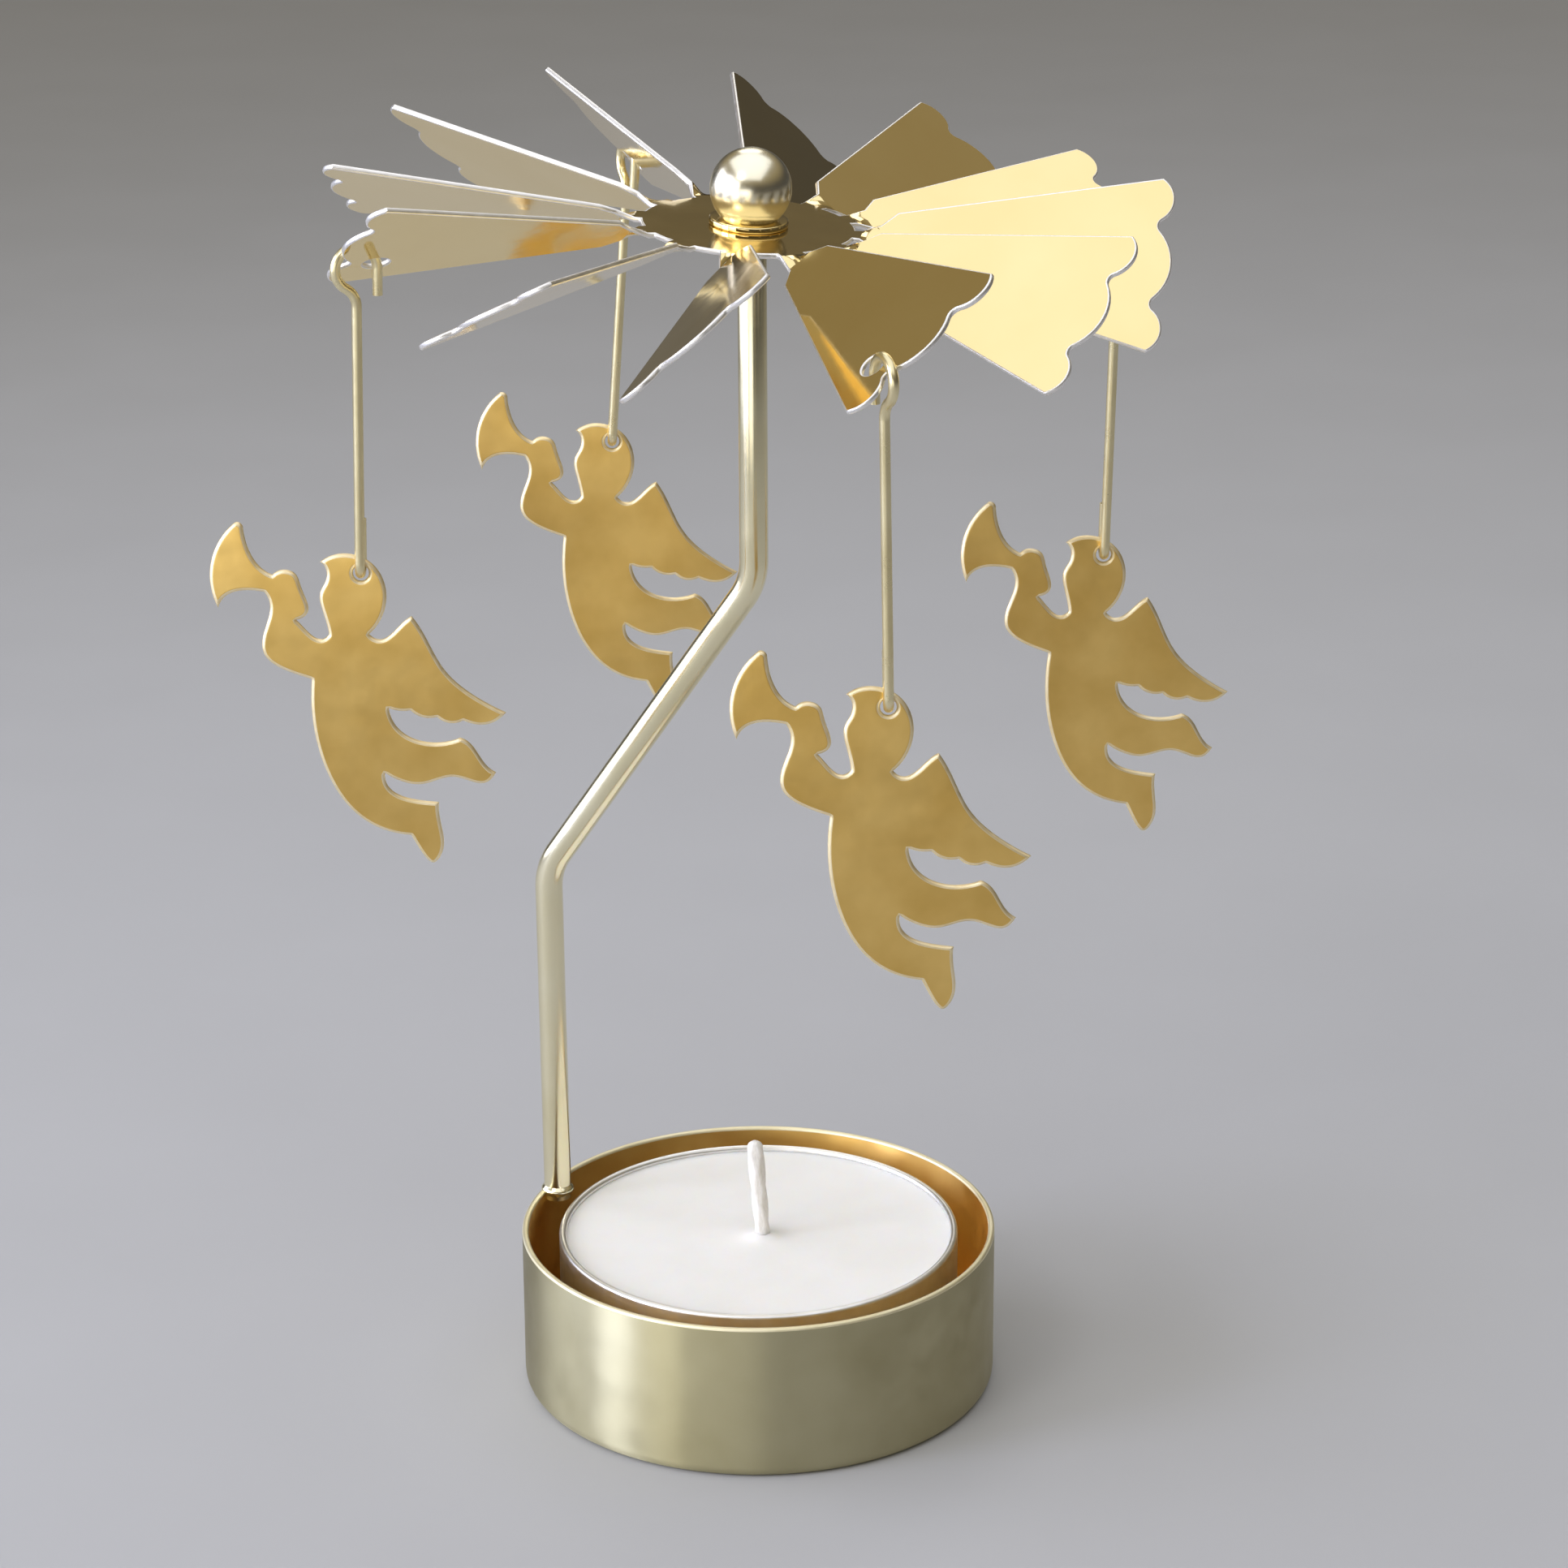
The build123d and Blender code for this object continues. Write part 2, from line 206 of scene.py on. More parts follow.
def grain(tree, size, stretch=NO_LINES, detail=3.0):
    """Noise with grains of a size, drawn out along each axis by its stretch."""
    coords = add(tree, "ShaderNodeTexCoord")
    drawn = [1 / share for share in stretch]
    scaled = add(tree, "ShaderNodeMapping", {"Vector": coords.outputs["Object"], "Scale": drawn})
    inputs = {"Vector": scaled.outputs["Vector"], "Scale": 1 / size, "Detail": detail}
    return add(tree, "ShaderNodeTexNoise", inputs).outputs["Fac"]


def tones(tree, factor, dark, light):
    """Colour that goes from dark to light with a noise factor."""
    ramp = add(tree, "ShaderNodeValToRGB", {"Fac": factor})
    stops = ((NOISE_LOW, dark), (NOISE_HIGH, light))
    for element, (place, colour) in zip(ramp.color_ramp.elements, stops):
        element.position = place
        element.color = (*colour, 1)
    return ramp.outputs["Color"]


def spread(tree, factor, low, high):
    """Value that goes from low to high with a noise factor."""
    inputs = {
        "Value": factor,
        "From Min": NOISE_LOW,
        "From Max": NOISE_HIGH,
        "To Min": low,
        "To Max": high,
    }
    return add(tree, "ShaderNodeMapRange", inputs).outputs["Result"]


def relief(tree, layers):
    """Normal of a surface with layers of (noise factor, depth) on each other."""
    normal = None
    for factor, depth in layers:
        bump = add(tree, "ShaderNodeBump", {"Height": factor, "Distance": depth})
        if normal:
            tree.links.new(normal, bump.inputs["Normal"])
        normal = bump.outputs["Normal"]
    return normal


def metal(name, dark, light, roughness, tone_size, layers):
    """Metal with tones and smudges of a size, and relief layers of (size, stretch, depth)."""
    material, tree, shader = new_material(name)
    tone = grain(tree, tone_size)
    smudge = grain(tree, tone_size / 3, detail=6.0)
    reliefs = [(grain(tree, size, stretch), depth) for size, stretch, depth in layers]
    tree.links.new(tones(tree, tone, dark, light), shader.inputs["Base Color"])
    tree.links.new(spread(tree, smudge, *roughness), shader.inputs["Roughness"])
    tree.links.new(relief(tree, reliefs), shader.inputs["Normal"])
    shader.inputs["Metallic"].default_value = 1.0
    return material


def turned_metal(name, *finish):
    """Metal brushed round and round, which draws its highlights out along the axis."""
    material = metal(name, *finish)
    tree = material.node_tree
    shader = tree.nodes["Principled BSDF"]
    round_z = add(tree, "ShaderNodeTangent", direction_type="RADIAL", axis="Z")
    tree.links.new(round_z.outputs["Tangent"], shader.inputs["Tangent"])
    shader.inputs["Anisotropic"].default_value = 0.95
    shader.inputs["Anisotropic Rotation"].default_value = 0.25
    return material


satin_gold = turned_metal(
    "satin_gold",
    srgb(188, 180, 143),
    srgb(199, 192, 157),
    (0.36, 0.46),
    9 * MM,
    [(0.12 * MM, ROUND_LINES, 0.003 * MM)],
)
# Inside of the cup: painted a warmer, more orange gold than the outside, a painted reflection of
# the gold walls in each other.
inner_reflected_gold = turned_metal(
    "inner_reflected_gold",
    srgb(240, 196, 112),
    srgb(248, 208, 126),
    (0.3, 0.42),
    6 * MM,
    [(0.15 * MM, ROUND_LINES, 0.003 * MM)],
)
# Lip of the cup: painted paler than the side, a painted highlight where the rounded lip catches the
# light.
rim_highlight_gold = metal(
    "rim_highlight_gold",
    srgb(240, 230, 192),
    srgb(249, 242, 212),
    (0.44, 0.58),
    4 * MM,
    [(0.2 * MM, NO_LINES, 0.001 * MM)],
)
polished_gold = metal(
    "polished_gold",
    srgb(239, 229, 190),
    srgb(247, 239, 206),
    (0.17, 0.25),
    8 * MM,
    [(6 * MM, NO_LINES, 0.01 * MM)],
)
finial_gold = metal(
    "finial_gold",
    srgb(247, 239, 212),
    srgb(252, 246, 224),
    (0.2, 0.28),
    6 * MM,
    [(3 * MM, NO_LINES, 0.006 * MM)],
)
wire_gold = metal(
    "wire_gold",
    srgb(228, 214, 168),
    srgb(240, 228, 186),
    (0.26, 0.34),
    6 * MM,
    [(5 * MM, NO_LINES, 0.004 * MM)],
)
mirror_brass = metal(
    "mirror_brass",
    srgb(245, 221, 160),
    srgb(249, 227, 169),
    (0.05, 0.11),
    12 * MM,
    [(7 * MM, NO_LINES, 0.025 * MM), (0.3 * MM, NO_LINES, 0.0002 * MM)],
)
# Cut edges of the fan: bare sheared metal, painted near white as a painted highlight where the
# edges catch the light.
cut_edge_highlight = metal(
    "cut_edge_highlight",
    srgb(238, 235, 231),
    srgb(250, 248, 246),
    (0.34, 0.48),
    1.5 * MM,
    [(0.15 * MM, NO_LINES, 0.001 * MM)],
)
angel_gold = metal(
    "angel_gold",
    srgb(220, 181, 99),
    srgb(238, 201, 120),
    (0.3, 0.4),
    5 * MM,
    [(0.2 * MM, STAMPED_LINES, 0.003 * MM), (6 * MM, NO_LINES, 0.08 * MM)],
)
# Rounded edges of the angels: painted paler than the faces, a painted highlight where the rolled
# edges catch the light.
angel_edge_highlight = metal(
    "angel_edge_highlight",
    srgb(246, 226, 178),
    srgb(253, 238, 202),
    (0.42, 0.56),
    1.5 * MM,
    [(0.15 * MM, NO_LINES, 0.001 * MM)],
)
shell_aluminium = metal(
    "shell_aluminium",
    srgb(236, 235, 232),
    srgb(247, 246, 244),
    (0.3, 0.42),
    2 * MM,
    [(0.4 * MM, UPRIGHT_LINES, 0.002 * MM)],
)
holder_steel = metal(
    "holder_steel",
    srgb(196, 196, 196),
    srgb(214, 214, 214),
    (0.25, 0.4),
    2 * MM,
    [(0.2 * MM, NO_LINES, 0.006 * MM)],
)


def make_wax_material():
    """White paraffin, which lets light in a little and has a faint bloom."""
    material, tree, shader = new_material("wax")
    cloud = grain(tree, 6 * MM, detail=4.0)
    bloom = grain(tree, 0.5 * MM)
    tone = tones(tree, cloud, srgb(247, 244, 238), srgb(251, 248, 243))
    tree.links.new(tone, shader.inputs["Base Color"])
    tree.links.new(spread(tree, bloom, 0.34, 0.5), shader.inputs["Roughness"])
    tree.links.new(relief(tree, [(bloom, 0.008 * MM), (cloud, 0.04 * MM)]), shader.inputs["Normal"])
    shader.inputs["Subsurface Weight"].default_value = 0.5
    shader.inputs["Subsurface Radius"].default_value = (1.0, 0.8, 0.6)
    shader.inputs["Subsurface Scale"].default_value = 1.5 * MM
    shader.inputs["IOR"].default_value = 1.44
    return material


def make_cotton_material():
    """White cotton yarn stiffened with wax."""
    material, tree, shader = new_material("cotton")
    fibre = grain(tree, 0.12 * MM, FIBRE_LINES)
    tone = tones(tree, fibre, srgb(220, 216, 208), srgb(238, 235, 229))
    tree.links.new(tone, shader.inputs["Base Color"])
    tree.links.new(spread(tree, fibre, 0.5, 0.7), shader.inputs["Roughness"])
    tree.links.new(relief(tree, [(fibre, 0.03 * MM)]), shader.inputs["Normal"])
    shader.inputs["Subsurface Weight"].default_value = 0.8
    shader.inputs["Subsurface Radius"].default_value = (1.0, 0.95, 0.9)
    shader.inputs["Subsurface Scale"].default_value = 1.2 * MM
    return material


def make_floor_material():
    """Plain pale surface with a dull sheen."""
    material, tree, shader = new_material("floor")
    speck = grain(tree, 30 * MM, detail=6.0)
    tone = tones(tree, speck, srgb(182, 182, 183), srgb(184, 184, 185))
    tree.links.new(tone, shader.inputs["Base Color"])
    tree.links.new(spread(tree, speck, 0.66, 0.74), shader.inputs["Roughness"])
    shader.inputs["Specular IOR Level"].default_value = 0.25
    return material


# Mesh building


def make_piece(name, bm, *materials):
    """Object of a mesh with its faces turned outwards and its round faces smooth."""
    bmesh.ops.recalc_face_normals(bm, faces=bm.faces)
    mesh = bpy.data.meshes.new(name)
    bm.to_mesh(mesh)
    bm.free()
    mesh.shade_smooth()
    mesh.set_sharp_from_angle(angle=SHARP_ANGLE)
    for material in materials:
        mesh.materials.append(material)
    piece = bpy.data.objects.new(name, mesh)
    bpy.context.scene.collection.objects.link(piece)
    return piece


def stand_for(piece, body, slot, *nodes):
    """Puts a piece on its body, in place of the nodes that it stands for."""
    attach(piece, body)
    if nodes:
        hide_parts(*nodes)


def arc(centre, radius, start, end, count=ARC_STEPS):
    """Points of a flat arc between two angles in degrees."""
    angles = [radians(start + (end - start) * k / count) for k in range(count + 1)]
    return [(centre[0] + radius * cos(a), centre[1] + radius * sin(a)) for a in angles]


def lathe(profile, steps, place=Matrix.Identity(4)):
    """Mesh turned about an axis from a closed profile of (radius, height) points."""
    bm = bmesh.new()
    rings = []
    for step in range(steps):
        turn = place @ Matrix.Rotation(2 * pi * step / steps, 4, "Z")
        rings.append([bm.verts.new(turn @ Vector((r, 0, z))) for r, z in profile])
    for step, ring in enumerate(rings):
        following = rings[(step + 1) % steps]
        for k in range(len(profile)):
            last = k - 1
            bm.faces.new((ring[last], following[last], following[k], ring[k]))
    bmesh.ops.remove_doubles(bm, verts=bm.verts, dist=WELD)
    return bm


def rounded(points, radius):
    """Points along straight runs whose corners are arcs."""
    path = [points[0]]
    for before, corner, after in zip(points, points[1:], points[2:]):
        back = (before - corner).normalized()
        onward = (after - corner).normalized()
        half = back.angle(onward) / 2
        centre = corner + (back + onward).normalized() * (radius / sin(half))
        start = corner + back * (radius * cos(half) / sin(half)) - centre
        end = corner + onward * (radius * cos(half) / sin(half)) - centre
        turn = start.rotation_difference(end)
        shares = [k / BEND_STEPS for k in range(BEND_STEPS + 1)]
        path += [centre + Quaternion().slerp(turn, share) @ start for share in shares]
    return path + [points[-1]]


def spaced(path, gap):
    """Path with points added so that they stand about a gap apart."""
    points = [path[0]]
    for start, end in zip(path, path[1:]):
        count = max(1, round((end - start).length / gap))
        points += [start.lerp(end, k / count) for k in range(1, count + 1)]
    return points


def tube(path, radius_at):
    """Mesh of a tube along a path, whose radius depends on (distance, angle)."""
    bm = bmesh.new()
    rings = []
    distance = 0.0
    heading = (path[1] - path[0]).normalized()
    side = heading.orthogonal().normalized()
    for k, point in enumerate(path):
        ahead = path[min(k + 1, len(path) - 1)] - path[max(k - 1, 0)]
        turn = heading.rotation_difference(ahead.normalized())
        heading = ahead.normalized()
        side = turn @ side
        other = heading.cross(side)
        if k:
            distance += (point - path[k - 1]).length
        ring = []
        for step in range(TUBE_SIDES):
            angle = 2 * pi * step / TUBE_SIDES
            ray = side * cos(angle) + other * sin(angle)
            ring.append(bm.verts.new(point + ray * radius_at(distance, angle)))
        rings.append(ring)
    for ring, following in zip(rings, rings[1:]):
        for step in range(TUBE_SIDES):
            last = step - 1
            bm.faces.new((ring[last], ring[step], following[step], following[last]))
    bm.faces.new(rings[0])
    bm.faces.new(rings[-1])
    return bm


def node_mesh(node):
    """Copy of a node's mesh with its triangles joined up."""
    data = frame["nodes"][node].data
    mesh = bpy.data.meshes.new(node + "_copy")
    mesh.from_pydata([v.co for v in data.vertices], [], [p.vertices[:] for p in data.polygons])
    bm = bmesh.new()
    bm.from_mesh(mesh)
    bpy.data.meshes.remove(mesh)
    bmesh.ops.remove_doubles(bm, verts=bm.verts, dist=NODE_WELD)
    bm.normal_update()
    return bm


def front_loops(node):
    """Closed loops of points round the front of a flat sheet, and the way that it faces."""
    bm = node_mesh(node)
    frontward = [face for face in bm.faces if face.normal.y < 0]
    facing = max(frontward, key=lambda face: face.calc_area()).normal.copy()
    front = dict.fromkeys(face for face in bm.faces if face.normal.dot(facing) > SAME_WAY)
    onward = {}
    for face in front:
        for corner in face.loops:
            if corner.link_loop_radial_next.face not in front:
                onward[corner.vert] = corner.link_loop_next.vert
    loops = []
    while onward:
        vert, following = onward.popitem()
        points = [vert.co.copy()]
        while following in onward:
            points.append(following.co.copy())
            following = onward.pop(following)
        loops.append(points)
    bm.free()
    return loops, facing


def filled(loops, insets, grid, depth_of):
    """Flat triangles that fill loops of points, holes too, with rows of points inset."""
    points = []
    edges = []
    for loop in loops:
        first = len(points)
        points += loop
        edges += [(first + k, first + (k + 1) % len(loop)) for k in range(len(loop))]
    outline = list(points)
    for loop in loops:
        for before, point, after in zip(loop[-1:] + loop, loop, loop[1:] + loop[:1]):
            along = (after - before).normalized()
            inward = Vector((-along.y, along.x))
            rows = [point + inward * inset for inset in insets]
            kept = [depth_of(row) > ANGEL_INSET_SHARE * inset for row, inset in zip(rows, insets)]
            points += [row for row, keep in zip(rows, kept) if keep]
    left = min(point.x for point in outline)
    right = max(point.x for point in outline)
    low = min(point.y for point in outline)
    high = max(point.y for point in outline)
    for row in range(int((high - low) / grid) + 1):
        for column in range(int((right - left) / grid) + 1):
            point = Vector((left + (column + row % 2 / 2) * grid, low + row * grid))
            if depth_of(point) > insets[-1] + grid / 3:
                points.append(point)
    inside_outline = 1
    verts, _, triangles, _, _, _ = delaunay_2d_cdt(points, edges, [], inside_outline, WELD)
    return verts, triangles


def stamped_fan():
    """Copy of the fan's mesh with rounded edges, which take the second material, bare metal painted
    near white as a highlight.
    """
    bm = node_mesh("fan")
    solid = BVHTree.FromBMesh(bm)
    for face in bm.faces:
        inside = face.calc_center_median() - face.normal * FAN_PROBE_IN
        depth = solid.ray_cast(inside, -face.normal)[3]
        # Faces off the broad flats take the painted highlight of the cut edge.
        face.material_index = 0 if depth and depth < FAN_THROUGH * FAN_SHEET else 1
    bmesh.ops.dissolve_limit(
        bm, angle_limit=FAN_FLAT_ANGLE, verts=bm.verts, edges=bm.edges, delimit={"MATERIAL"}
    )
    corners = [edge for edge in bm.edges if edge.calc_face_angle(0) > FAN_CORNER_ANGLE]
    bmesh.ops.bevel(
        bm,
        geom=corners,
        offset=FAN_EDGE_R,
        offset_type="OFFSET",
        segments=FAN_EDGE_STEPS,
        profile=0.5,
        affect="EDGES",
        clamp_overlap=False,
        material=1,
    )
    return bm


def keep_flats(piece):
    """Shades the flats of a stamped sheet flat, so that only its rounded edges turn."""
    flats = piece.modifiers.new("flats", "WEIGHTED_NORMAL")
    flats.mode = "FACE_AREA"
    flats.weight = 100
    flats.keep_sharp = True


# Sub-parts

cup_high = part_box("cup")[1]
shell_low, shell_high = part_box("tealight_shell")
wax_low, wax_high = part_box("tealight_wax")
wick_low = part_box("wick")[0]
stem_low, stem_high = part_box("stem")
ball_low, ball_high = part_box("ball")
joints = {joint["name"]: joint for joint in frame["joints"]}
pivot = Vector(joints["rotor_spin"]["pos_m"])
stem_r = stem_high.x
lean_turn = Matrix.Rotation(FAN_LEAN_AZIMUTH, 4, "Z")
hub_place = (
    Matrix.Translation(pivot)
    @ lean_turn
    @ Matrix.Rotation(FAN_LEAN, 4, "Y")
    @ lean_turn.inverted()
    @ Matrix.Translation((0, 0, -PIVOT_ABOVE_HUB))
)
sleeve_bore_r = SLEEVE_R - SLEEVE_WALL
flange_top = FAN_SHEET / 2 + FLANGE_H
cone_foot = PIVOT_ABOVE_HUB - CONE_H
spigot_top = cone_foot - SPIGOT_BELOW_CONE


def make_cup():
    """Drawn cup, brushed on the outside, with a painted reflection on its inside and a painted
    highlight on its lip.
    """
    outer_r = cup_high.x
    inner_r = outer_r - CUP_WALL
    floor_z = shell_low.z
    rim_z = cup_high.z
    profile = [(0, 0)]
    profile += arc((outer_r - CUP_CORNER_R, CUP_CORNER_R), CUP_CORNER_R, -90, 0)
    profile += arc((outer_r - CUP_RIM_R, rim_z - CUP_RIM_R), CUP_RIM_R, 0, 90)
    profile += arc((inner_r + CUP_RIM_R, rim_z - CUP_RIM_R), CUP_RIM_R, 90, 180)
    profile += arc((inner_r - CUP_WALL, floor_z + CUP_WALL), CUP_WALL, 0, -90)
    profile += [(0, floor_z)]
    bm = lathe(profile, PAN_STEPS)
    for face in bm.faces:
        middle = face.calc_center_median()
        # Faces on the lip take the painted highlight colour.
        if middle.z > rim_z - CUP_RIM_R:
            face.material_index = 2
        # Faces inside the cup take the painted reflection colour.
        elif middle.xy.length < inner_r + CUP_RIM_R and middle.z > floor_z / 2:
            face.material_index = 1
    piece = make_piece("brushed_cup", bm, satin_gold, inner_reflected_gold, rim_highlight_gold)
    stand_for(piece, "base", "satin_gold", "cup")


def stem_point(radius, z):
    """Point on the stem's side of the cup, at a distance from the axis and a height."""
    return Vector((radius * cos(STEM_AZIMUTH), radius * sin(STEM_AZIMUTH), z))


def make_stem():
    """Bent rod with its pointed top, and the solder that holds its foot to the rim."""
    path = rounded(
        [
            stem_point(STEM_FOOT_R, stem_low.z),
            stem_point(STEM_FOOT_R + STEM_SPLAY, STEM_LOW_BEND_Z),
            Vector((0, 0, STEM_HIGH_BEND_Z)),
            Vector((0, 0, stem_high.z - STEM_POINT)),
        ],
        STEM_BEND_R,
    )
    path.append(Vector((0, 0, stem_high.z)))
    length = sum((b - a).length for a, b in zip(path, path[1:]))

    def radius_at(distance, angle):
        """Full radius up to the foot of the point, then less towards its flat."""
        left = length - distance
        return min(stem_r, STEM_POINT_FLAT + (stem_r - STEM_POINT_FLAT) * left / STEM_POINT)

    rod = make_piece("bent_stem", tube(path, radius_at), polished_gold)
    stand_for(rod, "base", "polished_gold", "stem")
    bead = []
    for step in range(-SOLDER_HALF_STEPS, SOLDER_HALF_STEPS + 1):
        z = SOLDER_H * step / SOLDER_HALF_STEPS
        bead.append((stem_r - SOLDER_SINK + SOLDER_PROUD * cos(pi * z / SOLDER_H / 2) ** 2, z))
    bead += [(stem_r - SOLDER_DEPTH, SOLDER_H), (stem_r - SOLDER_DEPTH, -SOLDER_H)]
    foot = Matrix.Translation(stem_point(STEM_FOOT_R, cup_high.z))
    solder = make_piece("stem_solder", lathe(bead, SOLDER_STEPS, foot), polished_gold)
    stand_for(solder, "base", "polished_gold")


def make_tealight():
    """Thin pressed shell with a rolled lip, and the wax that fills it."""
    outer_r = shell_high.x
    inner_r = outer_r - SHELL_WALL
    lip_z = shell_high.z - SHELL_LIP_R
    floor_z = shell_low.z + SHELL_WALL
    corner = (outer_r - SHELL_CORNER_R, shell_low.z + SHELL_CORNER_R)
    shell = [(0, shell_low.z)]
    shell += arc(corner, SHELL_CORNER_R, -90, 0)
    shell += arc((outer_r - SHELL_LIP_R, lip_z), SHELL_LIP_R, 0, SHELL_LIP_DEGREES, LIP_STEPS)
    shell += [(inner_r, lip_z - SHELL_LIP_R), (inner_r, floor_z), (0, floor_z)]
    piece = make_piece("rolled_shell", lathe(shell, PAN_STEPS), shell_aluminium)
    stand_for(piece, "tealight", "shell_aluminium", "tealight_shell")

    wax_r = wax_high.x
    wax = [(wax_r * k / WAX_TOP_STEPS, wax_high.z) for k in range(WAX_TOP_FLAT_STEPS)]
    wax += arc((wax_r - WAX_EDGE_R, wax_high.z - WAX_EDGE_R), WAX_EDGE_R, 90, 0)
    wax += [(wax_r, wax_low.z), (0, wax_low.z)]
    bm = lathe(wax, WAX_STEPS)
    wick_foot = Vector((WICK_X, WICK_Y))
    for vert in bm.verts:
        if vert.co.z > wax_high.z - WAX_EDGE_R / 2:
            outness = (vert.co.xy.length / wax_r) ** WAX_DISH_POWER
            dip = WAX_DISH * (outness - 1)
            from_wick = (vert.co.xy - wick_foot).length - WICK_R
            creep = WAX_CREEP * exp(-from_wick / WAX_CREEP_REACH)
            swell = WAX_RIPPLE * noise.noise(vert.co * (1 / WAX_RIPPLE_SIZE))
            vert.co.z += dip + min(creep, WAX_CREEP) + swell * (1 - outness)
    piece = make_piece("poured_wax", bm, make_wax_material())
    stand_for(piece, "tealight", "wax", "tealight_wax")


def make_wick():
    """Braided cotton, standing out of the wax with a slight lean."""
    foot = Vector((WICK_X, WICK_Y, wick_low.z))
    bend = Vector((WICK_X, WICK_Y, wax_high.z))
    lean = WICK_PROUD * sin(WICK_LEAN)
    tip = bend + Vector((lean * cos(WICK_LEAN_AZIMUTH), lean * sin(WICK_LEAN_AZIMUTH), WICK_PROUD))
    path = spaced(rounded([foot, bend, tip], WICK_BEND_R), WICK_GAP)
    length = sum((b - a).length for a, b in zip(path, path[1:]))

    def radius_at(distance, angle):
        """Strands laid both ways, on a core that widens from the wax to its rounded tip."""
        lay = 2 * pi * distance / WICK_LAY
        right = cos((WICK_STRANDS * angle - lay) / 2) ** 2
        left = cos((WICK_STRANDS * angle + lay) / 2) ** 2
        groove = WICK_GROOVE * (1 - max(right, left))
        fray = max(0.0, 1 - (length - distance) / WICK_PROUD)
        flare = WICK_WAIST + (1 - WICK_WAIST) * fray
        tip_share = min(1.0, (length - distance) / WICK_R)
        return WICK_R * flare * (1 - groove) * sqrt(1 - WICK_TIP_ROUND * (1 - tip_share) ** 2)

    piece = make_piece("braided_wick", tube(path, radius_at), make_cotton_material())
    stand_for(piece, "tealight", "wick", "wick")
    frame["nodes"]["wick_holder"].data.materials[0] = holder_steel


def make_ball():
    """Polished finial, bored from below for the collar's spigot and the stem's point."""
    ball_r = (ball_high.x - ball_low.x) / 2
    middle = (ball_low + ball_high) / 2
    centre = Vector((middle.x, middle.y, ball_high.z - ball_r))
    height = (hub_place.inverted() @ centre).z
    seat_r = SLEEVE_R + SLEEVE_GAP
    rim_r = seat_r + BALL_RIM
    profile = [
        (0, PIVOT_ABOVE_HUB),
        (CONE_TOP_R, PIVOT_ABOVE_HUB),
        (sleeve_bore_r, cone_foot),
        (sleeve_bore_r, spigot_top),
        (seat_r, spigot_top),
        (seat_r, flange_top),
    ]
    profile += arc((0, height), ball_r, -degrees(acos(rim_r / ball_r)), 90, BALL_STEPS)
    piece = make_piece("ball_finial", lathe(profile, HUB_STEPS, hub_place), finial_gold)
    stand_for(piece, "rotor", "polished_gold", "ball")


def make_collar():
    """Flanged bush under the ball, swaged over below the fan."""
    half = FAN_SHEET / 2
    profile = [(sleeve_bore_r, spigot_top), (SLEEVE_R, spigot_top), (SLEEVE_R, flange_top)]
    profile += arc((FLANGE_R - FLANGE_EDGE_R, flange_top - FLANGE_EDGE_R), FLANGE_EDGE_R, 90, 0)
    profile += arc((FLANGE_R - FLANGE_EDGE_R, half + FLANGE_EDGE_R), FLANGE_EDGE_R, 0, -90)
    profile += [(SLEEVE_R, half), (SLEEVE_R, -half)]
    profile += arc((SLEEVE_R, -half), SLEEVE_LIP, 0, -90)
    profile += [(sleeve_bore_r, -half - SLEEVE_BELOW)]
    piece = make_piece("flanged_collar", lathe(profile, HUB_STEPS, hub_place), mirror_brass)
    stand_for(piece, "rotor", "polished_gold", "collar")


def make_fan():
    """Stamped fan of polished sheet with bare cut edges, painted near white as a highlight."""
    piece = make_piece("mirror_fan", stamped_fan(), mirror_brass, cut_edge_highlight)
    keep_flats(piece)
    stand_for(piece, "rotor", "mirror_brass", "fan")


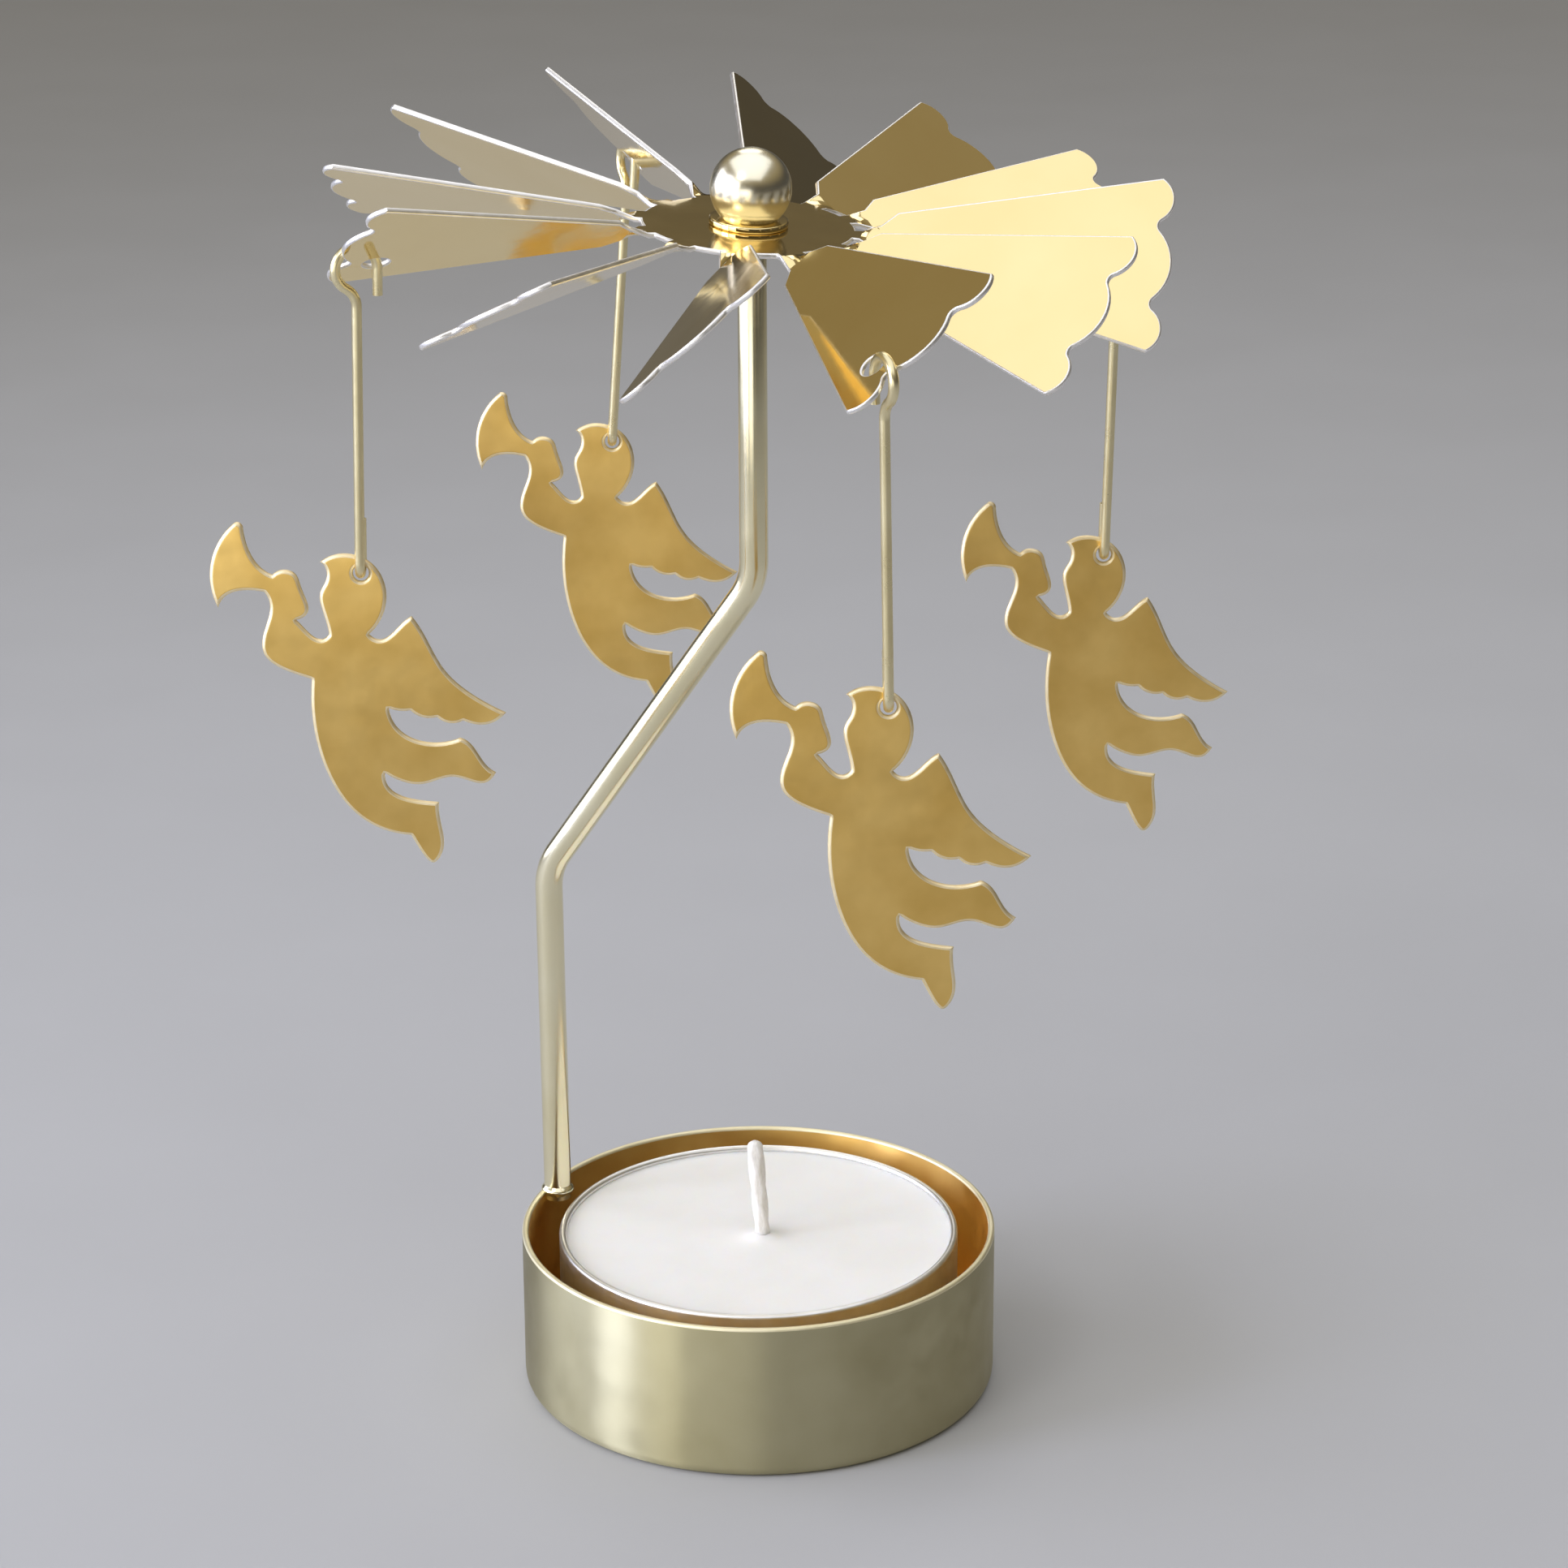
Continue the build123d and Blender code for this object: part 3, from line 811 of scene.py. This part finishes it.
def make_angel(place):
    """Stamped angel with rounded edges painted paler as a highlight, bowed about a level line so
    that its head leans back.
    """
    node = f"angel_{place}"
    hole = Vector(joints[f"angel_swing_{place}"]["pos_m"])
    loops, facing = front_loops(node)
    up = (Vector((0, 0, 1)) - facing * facing.z).normalized()
    side = up.cross(facing)
    half = ANGEL_SHEET / 2
    centre = hole + facing * ((loops[0][0] - hole).dot(facing) - half)
    outline = []
    samples = []
    for loop in loops:
        flat = [Vector(((p - hole).dot(side), (p - hole).dot(up))) for p in loop]
        path = spaced([*flat, flat[0]], ANGEL_OUTLINE_GAP)
        outline.append(path[:-1])
        samples += spaced(path, ANGEL_SAMPLE_GAP)
    rim = KDTree(len(samples))
    for k, point in enumerate(samples):
        rim.insert((*point, 0), k)
    rim.balance()

    def depth_of(point):
        """Distance of a flat point from the nearest edge."""
        return rim.find((*point, 0))[2]

    insets = [half * (1 - cos(radians(turn))) for turn in ANGEL_EDGE_TURNS]
    points, triangles = filled(outline, insets, ANGEL_GRID, depth_of)
    # The hole is round the origin, and a triangle with all its corners on the hole's edge fills it.
    hole_edge = ANGEL_HOLE_SLACK * min(point.length for point in points)
    sheet = [t for t in triangles if max(points[k].length for k in t) > hole_edge]
    middle = (min(p.y for p in points) + max(p.y for p in points)) / 2
    bm = bmesh.new()
    front = []
    back = []
    depths = [depth_of(point) for point in points]
    for point, depth in zip(points, depths):
        bow = ((point.y - middle) ** 2 - middle**2) / (2 * ANGEL_BOW_R)
        thick = half * sqrt(1 - max(0.0, 1 - depth / half) ** 2)
        spot = centre + side * point.x + up * point.y - facing * bow
        front.append(bm.verts.new(spot + facing * thick))
        back.append(bm.verts.new(spot - facing * thick))
    for triangle in sheet:
        # Faces on the rounded edge take the paler colour, a painted highlight.
        rounded_off = min(depths[k] for k in triangle) < ANGEL_EDGE_SHARE * half
        for side_verts in (front, back):
            face = bm.faces.new([side_verts[k] for k in triangle])
            face.material_index = 1 if rounded_off else 0
    outside = [vert for vert in bm.verts if not vert.link_faces]
    bmesh.ops.delete(bm, geom=outside, context="VERTS")
    bmesh.ops.remove_doubles(bm, verts=bm.verts, dist=ANGEL_RIM_WELD)
    piece = make_piece(f"stamped_angel_{place}", bm, angel_gold, angel_edge_highlight)
    keep_flats(piece)
    stand_for(piece, node, "angel_gold", node)


make_cup()
make_stem()
make_tealight()
make_wick()
make_ball()
make_collar()
make_fan()
for place in PLACES:
    frame["nodes"][f"hanger_{place}"].data.materials[0] = wire_gold
    make_angel(place)


# Stage

FLOOR_R = 3.0
ALL_ROUND = pi / 2
GRID = radians(38)
MIDDLE = (0, 0, 0.08)
WHITE = (1, 1, 1)
PALE_BLUE = (0.95, 1.0, 1.12)
BLUE = (0.94, 1.0, 1.25)
DEEP_BLUE = (0.94, 1.0, 1.3)

# Panels: name, place, aim, width, height, brightness, half spread, colour
PANELS = (
    ("overhead", (0, -0.24, 0.8), (0, -0.24, 0), 1.2, 1.52, 0.88, ALL_ROUND, PALE_BLUE),
    ("key", (-0.66, -0.235, 0.25), MIDDLE, 0.25, 0.46, 10.0, GRID, DEEP_BLUE),
    ("front", (-0.46, -0.43, 0.21), MIDDLE, 0.24, 0.4, 4.4, GRID, WHITE),
    ("fill", (-0.16, -0.58, 0.1), MIDDLE, 0.36, 0.18, 2.1, GRID, WHITE),
    ("left", (-0.68, 0.14, 0.25), MIDDLE, 0.5, 0.46, 3.8, GRID, BLUE),
    ("back", (0, 0.62, 0.6), (0, 0, 0.05), 0.35, 0.3, 2.2, GRID, WHITE),
    ("spark", (-0.35, -0.45, 0.62), (0, 0, 0.07), 0.2, 0.2, 4.2, GRID, WHITE),
)
SKY_STOPS = (
    (0.0, (0.06, 0.06, 0.06)),
    (0.2, (0.07, 0.064, 0.055)),
    (0.48, (0.26, 0.215, 0.125)),
    (1.0, (0.34, 0.33, 0.31)),
)


def make_floor():
    """Round pale floor under the object."""
    bm = bmesh.new()
    bmesh.ops.create_circle(bm, cap_ends=True, segments=FLOOR_STEPS, radius=FLOOR_R)
    floor = make_piece("floor", bm, make_floor_material())


def make_sky():
    """Dim surroundings, warm at mid height and brightest overhead."""
    world = bpy.data.worlds.new("studio")
    world.use_nodes = True
    tree = world.node_tree
    coords = add(tree, "ShaderNodeTexCoord")
    height = add(tree, "ShaderNodeSeparateXYZ", {"Vector": coords.outputs["Generated"]})
    ramp = add(tree, "ShaderNodeValToRGB", {"Fac": height.outputs["Z"]})
    stops = ramp.color_ramp.elements
    for _ in SKY_STOPS[2:]:
        stops.new(0.5)
    for stop, (place, colour) in zip(stops, SKY_STOPS):
        stop.position = place
        stop.color = (*colour, 1)
    tree.links.new(ramp.outputs["Color"], tree.nodes["Background"].inputs["Color"])
    bpy.context.scene.world = world


def make_panel(name, place, aim, width, height, brightness, half_spread, colour):
    """Soft light panel that looks from its place to a point, as bright as a white of that level."""
    gain = tan(half_spread) / (tan(half_spread) - half_spread)
    lamp = bpy.data.lights.new(name, "AREA")
    lamp.shape = "RECTANGLE"
    lamp.size = width
    lamp.size_y = height
    lamp.energy = brightness / gain * pi * width * height
    lamp.spread = 2 * half_spread
    lamp.color = colour
    panel = bpy.data.objects.new(name, lamp)
    panel.location = place
    panel.rotation_euler = (Vector(aim) - Vector(place)).to_track_quat("-Z", "Y").to_euler()
    panel.visible_camera = False
    bpy.context.scene.collection.objects.link(panel)


def make_camera():
    """Camera at the photograph's place, with its angle of view."""
    lens = bpy.data.cameras.new("photograph")
    lens.sensor_width = SENSOR_MM
    lens.lens = SENSOR_MM * FOCAL_PIXELS / PHOTO_WIDTH
    camera = bpy.data.objects.new("photograph", lens)
    camera.matrix_world = (
        Matrix.Translation(CAMERA_PLACE)
        @ Matrix.Rotation(-CAMERA_YAW, 4, "Z")
        @ Matrix.Rotation(pi / 2 - CAMERA_DOWN, 4, "X")
        @ Matrix.Rotation(CAMERA_ROLL, 4, "Z")
    )
    bpy.context.scene.collection.objects.link(camera)
    bpy.context.scene.camera = camera


make_floor()
make_sky()
for panel in PANELS:
    make_panel(*panel)
make_camera()
bpy.context.scene.view_settings.view_transform = "Standard"
